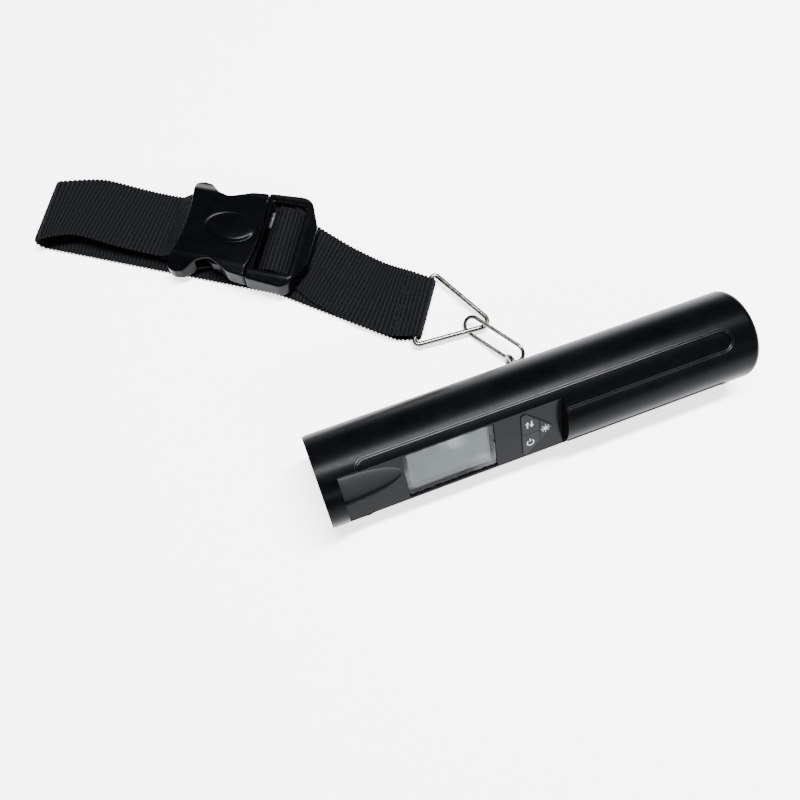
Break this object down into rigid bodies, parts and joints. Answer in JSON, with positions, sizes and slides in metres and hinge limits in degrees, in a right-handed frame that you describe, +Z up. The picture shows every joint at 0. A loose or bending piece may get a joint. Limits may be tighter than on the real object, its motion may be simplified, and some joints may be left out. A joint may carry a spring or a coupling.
{
  "type": "digital luggage scale",
  "caption": "Hand-held tube scale with a display facet and keys, a load eye with link and ring, and a webbing loop closed by a side-release buckle.",
  "frame": {"origin": "on the table, under the middle of the bounding box of the whole part as it lies", "axes": "+X along the tube towards its closed end, +Z up from the table, +Y to the strap side behind the tube"},
  "size_m": [0.236, 0.1822, 0.033],
  "materials": {
    "tube_plastic": "fine textured black moulding",
    "grip_plastic": "smooth black inlay",
    "panel_gloss": "glossy dark grey panel",
    "clear_lens": "clear polished plastic",
    "display_glass": "grey green display, off",
    "inner_plastic": "moulded",
    "backlight": "milky light guide",
    "contact_rubber": "layered conductive rubber",
    "board": "solder mask",
    "chip_plastic": "moulded",
    "key_plastic": "satin key caps",
    "cell_aluminium": "machined",
    "gauge_film": "polyimide film",
    "wire_steel": "nickel plated",
    "screw_steel": "zinc plated",
    "contact_metal": "nickel plated",
    "battery_wrap": "plain printed sleeve",
    "webbing": "ribbed woven webbing",
    "buckle_plastic": "satin black"
  },
  "bodies": {
    "handle": {"housing": "tube_plastic", "end_cap": "tube_plastic", "back_cover": "tube_plastic", "grip_strip_upper": "grip_plastic", "grip_strip_lower": "grip_plastic", "display_panel": "panel_gloss", "display_lens": "clear_lens", "display_glass": "display_glass", "display_frame": "inner_plastic", "backlight": "backlight", "contact_strips": "contact_rubber", "circuit_board": "board", "board_screws": "screw_steel", "board_chips": "chip_plastic", "key_switches": "chip_plastic", "load_cell": "cell_aluminium", "load_cell_screws": "screw_steel", "strain_gauges": "gauge_film", "load_eye": "wire_steel", "eye_nut": "screw_steel", "battery_tray": "inner_plastic", "battery_front": "battery_wrap", "battery_rear": "battery_wrap", "battery_contacts": "contact_metal", "battery_springs": "contact_metal", "cover_screws": "screw_steel"},
    "door": {"battery_door": "tube_plastic"},
    "unit_key": {"key_unit": "key_plastic"},
    "power_key": {"key_power": "key_plastic"},
    "light_key": {"key_light": "key_plastic"},
    "link": {"carry_link": "wire_steel"},
    "ring": {"strap_ring": "wire_steel"},
    "strap": {"webbing_ring_loop": "webbing", "webbing_lower": "webbing", "webbing_fold": "webbing", "webbing_upper_left": "webbing", "webbing_socket_loop": "webbing", "webbing_upper_right": "webbing", "buckle_socket": "buckle_plastic"},
    "plug": {"buckle_plug": "buckle_plastic", "webbing_threaded": "webbing"},
    "prong_upper": {"release_prong_upper": "buckle_plastic"},
    "prong_lower": {"release_prong_lower": "buckle_plastic"}
  },
  "joints": [
    {"name": "unit_key_press", "type": "slide", "parent": "handle", "child": "unit_key", "axis": [0, 0.9011, -0.4337], "range_m": [0, 0.0005], "stiffness_N_per_m": 1500},
    {"name": "power_key_press", "type": "slide", "parent": "handle", "child": "power_key", "axis": [0, 0.9011, -0.4337], "range_m": [0, 0.0005], "stiffness_N_per_m": 1500},
    {"name": "light_key_press", "type": "slide", "parent": "handle", "child": "light_key", "axis": [0, 0.9011, -0.4337], "range_m": [0, 0.0005], "stiffness_N_per_m": 1500},
    {"name": "battery_door_slide", "type": "slide", "parent": "handle", "child": "door", "axis": [1, 0, 0], "range_m": [0, 0.058]},
    {"name": "link_swing", "type": "hinge", "parent": "handle", "child": "link", "pos_m": [0.03952, -0.05482, 0.00696], "axis": [1, 0, 0], "range_deg": [-70, 45]},
    {"name": "ring_swing", "type": "hinge", "parent": "link", "child": "ring", "pos_m": [0.03931, -0.03278, 0.0032], "axis": [0.5693, 0.8221, 0], "range_deg": [0, 45]},
    {"name": "strap_swing", "type": "hinge", "parent": "ring", "child": "strap", "pos_m": [0.01832, -0.01825, 0.0032], "axis": [0.5693, 0.8221, 0], "range_deg": [-80, 40]},
    {"name": "buckle_release", "type": "slide", "parent": "strap", "child": "plug", "axis": [0.8453, -0.5344, 0], "range_m": [0, 0.022]},
    {"name": "prong_upper_squeeze", "type": "hinge", "parent": "plug", "child": "prong_upper", "pos_m": [-0.02921, 0.04309, 0.00775], "axis": [0, 0, 1], "range_deg": [0, 7], "stiffness_Nm_per_rad": 0.5},
    {"name": "prong_lower_squeeze", "type": "hinge", "parent": "plug", "child": "prong_lower", "pos_m": [-0.04075, 0.02483, 0.00775], "axis": [0, 0, -1], "range_deg": [0, 7], "stiffness_Nm_per_rad": 0.5}
  ]
}
